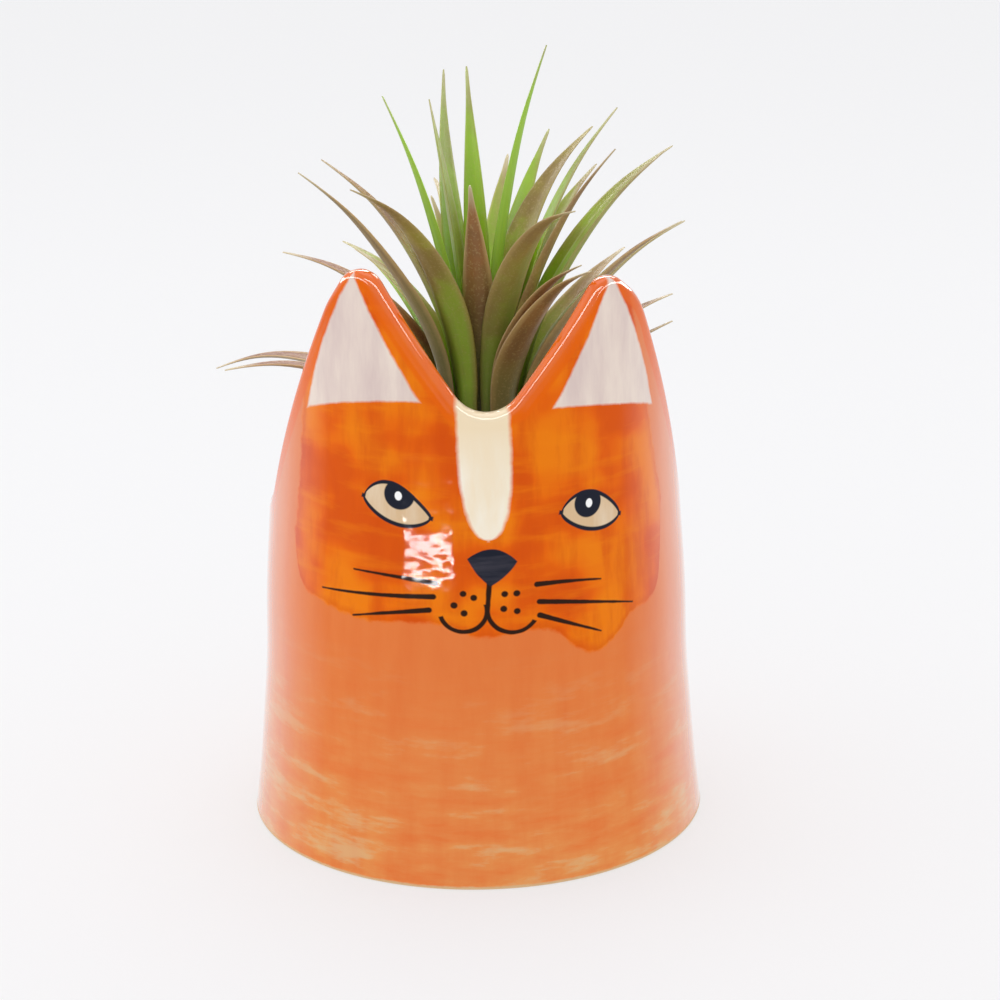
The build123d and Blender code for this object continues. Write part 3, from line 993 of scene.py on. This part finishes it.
def leaf_material(plant, name, body, edge):
    """A moulded leaf: lime in its lower half, russet above, umber and painted shade at its base, a pale
    tip.
    """
    kiln = Kiln(name)
    along, across, upper_side, russet, lime, umber = (kiln.attribute(name) for name in leaf_layers)
    place = kiln.place()
    length_wise = {"X": across * 5, "Y": along * 2.2, "Z": russet * 5 + umber * 3 + lime * 2}
    streaks = kiln.noise(kiln.node("ShaderNodeCombineXYZ", {}, length_wise), 1, 4, 0.6)
    clouds = kiln.noise(place, 90, 3, 0.55)
    flecks = kiln.noise(place, 1500, 2, 0.6)
    margin = abs(across).above(0.82, 0.3)
    drift = (clouds - 0.5) * 0.5 + across * 0.1
    lit = lime * (along + drift).below(lime * 0.6 + 0.35, 0.5)
    warm = russet * (along + drift).above(0.42, 0.4).most(margin * 0.8)
    speck = flecks.above(0.6, 0.12) * (russet * 0.5 + 0.12)
    tip = (along + (streaks - 0.5) * 0.1).above(0.93, 0.09) * (1 - lime * 0.75)
    colour = kiln.layered(body, (
        (edge, streaks.above(0.52, 0.3) * 0.5),
        (plant.lime, (lit * 2).least(0.97)),
        (plant.grass, lit * streaks.above(0.55, 0.3) * 0.5),
        (plant.russet, warm),
        (plant.plum, warm * clouds.above(0.52, 0.2) * 0.6),
        # Umber at the base: the leaf's own dark base together with painted shade where the leaves sit
        # low and behind the wall.
        (plant.umber, umber * (along + drift * 0.6).below(0.4, 0.45)),
        # A darker foot on every leaf: partly its own colour, partly painted shade among the crowded
        # bases.
        (plant.moss_and_shade, (along + drift * 0.3).below(0.14, 0.16) * 0.75),
        (plant.straw, margin * (1 - lime) * along.above(0.4, 0.5) * 0.85),
        (plant.fleck, speck * along.above(0.2, 0.6) * 0.6),
        (plant.tip, tip * 0.9),
        (plant.sage, (1 - upper_side) * 0.25),
    ))
    bump = kiln.bump(streaks * 0.7 + flecks * 0.3, 0.35, 0.4 * mm)
    return kiln.finish({"Base Color": colour, "Roughness": streaks * 0.14 + 0.34, "Normal": bump})


def soil_material(plant):
    """Glued crumbs of dark peat with a few paler grains."""
    kiln = Kiln("peat_crumbs")
    place = kiln.place()
    clumps = kiln.noise(place, 260, 4, 0.65)
    grains = kiln.noise(place, 1600, 2, 0.6)
    colour = kiln.layered(plant.soil_dark, (
        (plant.soil_pale, clumps.above(0.5, 0.3)),
        (plant.soil_grain, grains.above(0.66, 0.08)),
    ))
    bump = kiln.bump(clumps * 0.6 + grains * 0.4, 0.8, 1 * mm)
    return kiln.finish({"Base Color": colour, "Roughness": 0.85 + grains * 0.1, "Normal": bump})


def moulded_material(name, body, pale, grain, roughness):
    """Moulded plastic or foam: faint clouds of a paler tone over a fine grain."""
    kiln = Kiln(name)
    place = kiln.place()
    clouds = kiln.noise(place, 40, 3, 0.5)
    fine = kiln.noise(place, grain, 2, 0.6)
    colour = kiln.blend(body, pale, clouds.above(0.5, 0.5) * 0.6 + fine.above(0.58, 0.2) * 0.3)
    bump = kiln.bump(fine, 0.4, 0.3 * mm)
    return kiln.finish({"Base Color": colour, "Roughness": roughness + fine * 0.1, "Normal": bump})


def soil_height(share):
    """The height of the dome at a share of its radius."""
    return soil_high.z - soil_crown * share**2


def soil_shell(crumbs):
    """A low dome over the foam, closed below, with crumbs pressed into its top."""
    edge = soil_high.x
    hole = crown_hole_radius
    shell = bmesh.new()
    places = [(hole, 0, soil_low.z), (edge, 0, soil_low.z), (edge, 0, soil_high.z - soil_crown)]
    for step in range(1, soil_steps + 1):
        share = 1 - step / soil_steps * (1 - hole / edge)
        places.append((edge * share, 0, soil_height(share)))
    verts = chained(shell, places)
    shell.edges.new((verts[-1], verts[0]))
    spun(shell, soil_sides)
    bmesh.ops.remove_doubles(shell, verts=shell.verts, dist=1e-6)

    def aside(radius):
        """How far a ring is moved, so that the hole is round the stem."""
        return stem_offset * (edge - radius) / (edge - hole)

    for vert in shell.verts:
        vert.co.x += aside(hypot(vert.co.x, vert.co.y))
    random.seed(11)
    for _ in range(crumbs):
        share = sqrt(random.uniform((hole / edge + 0.08) ** 2, 0.95**2))
        heading = random.uniform(0, 2 * pi)
        size = random.uniform(*crumb_sizes) * mm
        radius = edge * share
        x = radius * cos(heading) + aside(radius)
        spot = Vector((x, radius * sin(heading), soil_height(share) - size * crumb_sink))
        spun_round = Matrix.Rotation(random.uniform(0, pi), 4, (random.random(), random.random(), 1))
        flat = Matrix.Diagonal((size, size * random.uniform(0.6, 1), size * 0.7, 1))
        turned = Matrix.Translation(spot) @ spun_round @ flat
        bmesh.ops.create_icosphere(shell, subdivisions=1, radius=1, matrix=turned)
    bmesh.ops.recalc_face_normals(shell, faces=shell.faces)
    return shell


class PLANTER_OT_pot(bpy.types.Operator):
    """Makes the turned, glazed and painted pot"""

    bl_idname = "planter.pot"
    bl_label = "Ceramic pot"

    def execute(self, context):
        pot = context.scene.planter_pot
        shell = turned_pot(pot)
        settled("glazed_pot", shell, glaze_material(pot), "planter", "ceramic_pot")
        return {"FINISHED"}


class PLANTER_OT_leaves(bpy.types.Operator):
    """Makes the forty leaves, each plugged into its ledge"""

    bl_idname = "planter.leaves"
    bl_label = "Leaves"

    def execute(self, context):
        plant = context.scene.planter_plant
        materials = {
            "leaf_brown": leaf_material(plant, "brown_leaf", plant.brown, plant.tan),
            "leaf_green": leaf_material(plant, "green_leaf", plant.green, plant.olive),
            "leaf_olive": leaf_material(plant, "olive_leaf", plant.olive, plant.tan),
        }
        for tier, (group, rows) in enumerate(leaf_tiers):
            for number, row in enumerate(rows, 1):
                place = f"{group}_{number:02d}"
                slot = leaf_slots.get(place, "leaf_olive")
                shell = leaf_shell(plant, tier, *row)
                node = f"leaf_{place}"
                settled(f"moulded_{node}", shell, materials[slot], "plant", node)
        return {"FINISHED"}


class PLANTER_OT_soil(bpy.types.Operator):
    """Makes the crumbed cover round the crown"""

    bl_idname = "planter.soil"
    bl_label = "Soil"

    def execute(self, context):
        plant = context.scene.planter_plant
        shell = soil_shell(plant.crumbs)
        settled("crumbled_soil", shell, soil_material(plant), "plant", "soil_cover", False)
        return {"FINISHED"}


class PLANTER_OT_finishes(bpy.types.Operator):
    """Gives the liner pot, the foam and the stem their materials"""

    bl_idname = "planter.finishes"
    bl_label = "Liner, foam and stem"

    def execute(self, context):
        for node, name, body, pale, grain, roughness in finishes:
            material = moulded_material(name, tint(*body), tint(*pale), grain, roughness)
            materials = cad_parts[node].data.materials
            materials.clear()
            materials.append(material)
        return {"FINISHED"}


class PLANTER_OT_stage(bpy.types.Operator):
    """Makes the floor, the lights and the camera"""

    bl_idname = "planter.stage"
    bl_label = "Stage"

    def execute(self, context):
        stage = context.scene.planter_stage
        shell = bmesh.new()
        bmesh.ops.create_grid(shell, x_segments=1, y_segments=1, size=stage.floor_size / 2)
        floor_finish = {
            "Base Color": tint(160, 160, 162),
            "Roughness": 0.7,
            "Specular IOR Level": 0.1,
            "Emission Color": tint(254, 254, 255),
            "Emission Strength": stage.floor_glow,
        }
        meshed("floor", shell, Kiln("pale_floor").finish(floor_finish))
        world = bpy.data.worlds.new("surround")
        world.use_nodes = True
        backdrop = world.node_tree.nodes["Background"]
        backdrop.inputs["Color"].default_value = (1, 1, 1, 1)
        backdrop.inputs["Strength"].default_value = stage.surround
        context.scene.world = world
        lamps = [name for name, *_ in soft_lights]
        for name, spot, target, size, power in (*soft_lights, *gleams):
            data = bpy.data.lights.new(name, "AREA")
            data.shape = "RECTANGLE"
            data.size, data.size_y = (side * mm for side in size)
            data.energy = power
            light = bpy.data.objects.new(name, data)
            place = Vector(spot) * mm
            aim = (Vector(target) * mm - place).to_track_quat("-Z", "Y")
            light.matrix_world = Matrix.Translation(place) @ aim.to_matrix().to_4x4()
            light.visible_camera = False
            light.visible_diffuse = name in lamps
            context.scene.collection.objects.link(light)
        context.scene.view_settings.view_transform = "Standard"
        place_camera(context.scene)
        return {"FINISHED"}


def place_camera(scene):
    data = bpy.data.cameras.new("camera")
    data.lens = camera_lens
    data.sensor_width = camera_sensor
    camera = bpy.data.objects.new("camera", data)
    ahead = (camera_target - camera_place).normalized()
    level = ahead.cross(Vector((0, 0, 1))).normalized()
    up = level.cross(ahead)
    tilt = radians(camera_roll)
    right = level * cos(tilt) + up * sin(tilt)
    top = up * cos(tilt) - level * sin(tilt)
    turned = Matrix((right, top, -ahead)).transposed().to_4x4()
    camera.matrix_world = Matrix.Translation(camera_place) @ turned
    scene.collection.objects.link(camera)
    scene.camera = camera


class PLANTER_PT_panel(bpy.types.Panel):
    """Lists the planter's pieces"""

    bl_label = "Cat planter"
    bl_idname = "PLANTER_PT_panel"
    bl_space_type = "VIEW_3D"
    bl_region_type = "UI"
    bl_category = "Planter"

    def draw(self, context):
        for operator in operators:
            self.layout.operator(operator.bl_idname)


settings_groups = {
    "planter_pot": PotSettings, "planter_plant": PlantSettings, "planter_stage": StageSettings
}
operators = (
    PLANTER_OT_pot, PLANTER_OT_leaves, PLANTER_OT_soil, PLANTER_OT_finishes, PLANTER_OT_stage
)
classes = (*settings_groups.values(), *operators, PLANTER_PT_panel)


def register():
    for kind in classes:
        bpy.utils.register_class(kind)
    for name, kind in settings_groups.items():
        setattr(bpy.types.Scene, name, PointerProperty(type=kind))


def unregister():
    for name in settings_groups:
        delattr(bpy.types.Scene, name)
    for kind in reversed(classes):
        bpy.utils.unregister_class(kind)


def main():
    register()
    bpy.ops.planter.pot()
    bpy.ops.planter.leaves()
    bpy.ops.planter.soil()
    bpy.ops.planter.finishes()
    bpy.ops.planter.stage()


if __name__ == "__main__":
    main()
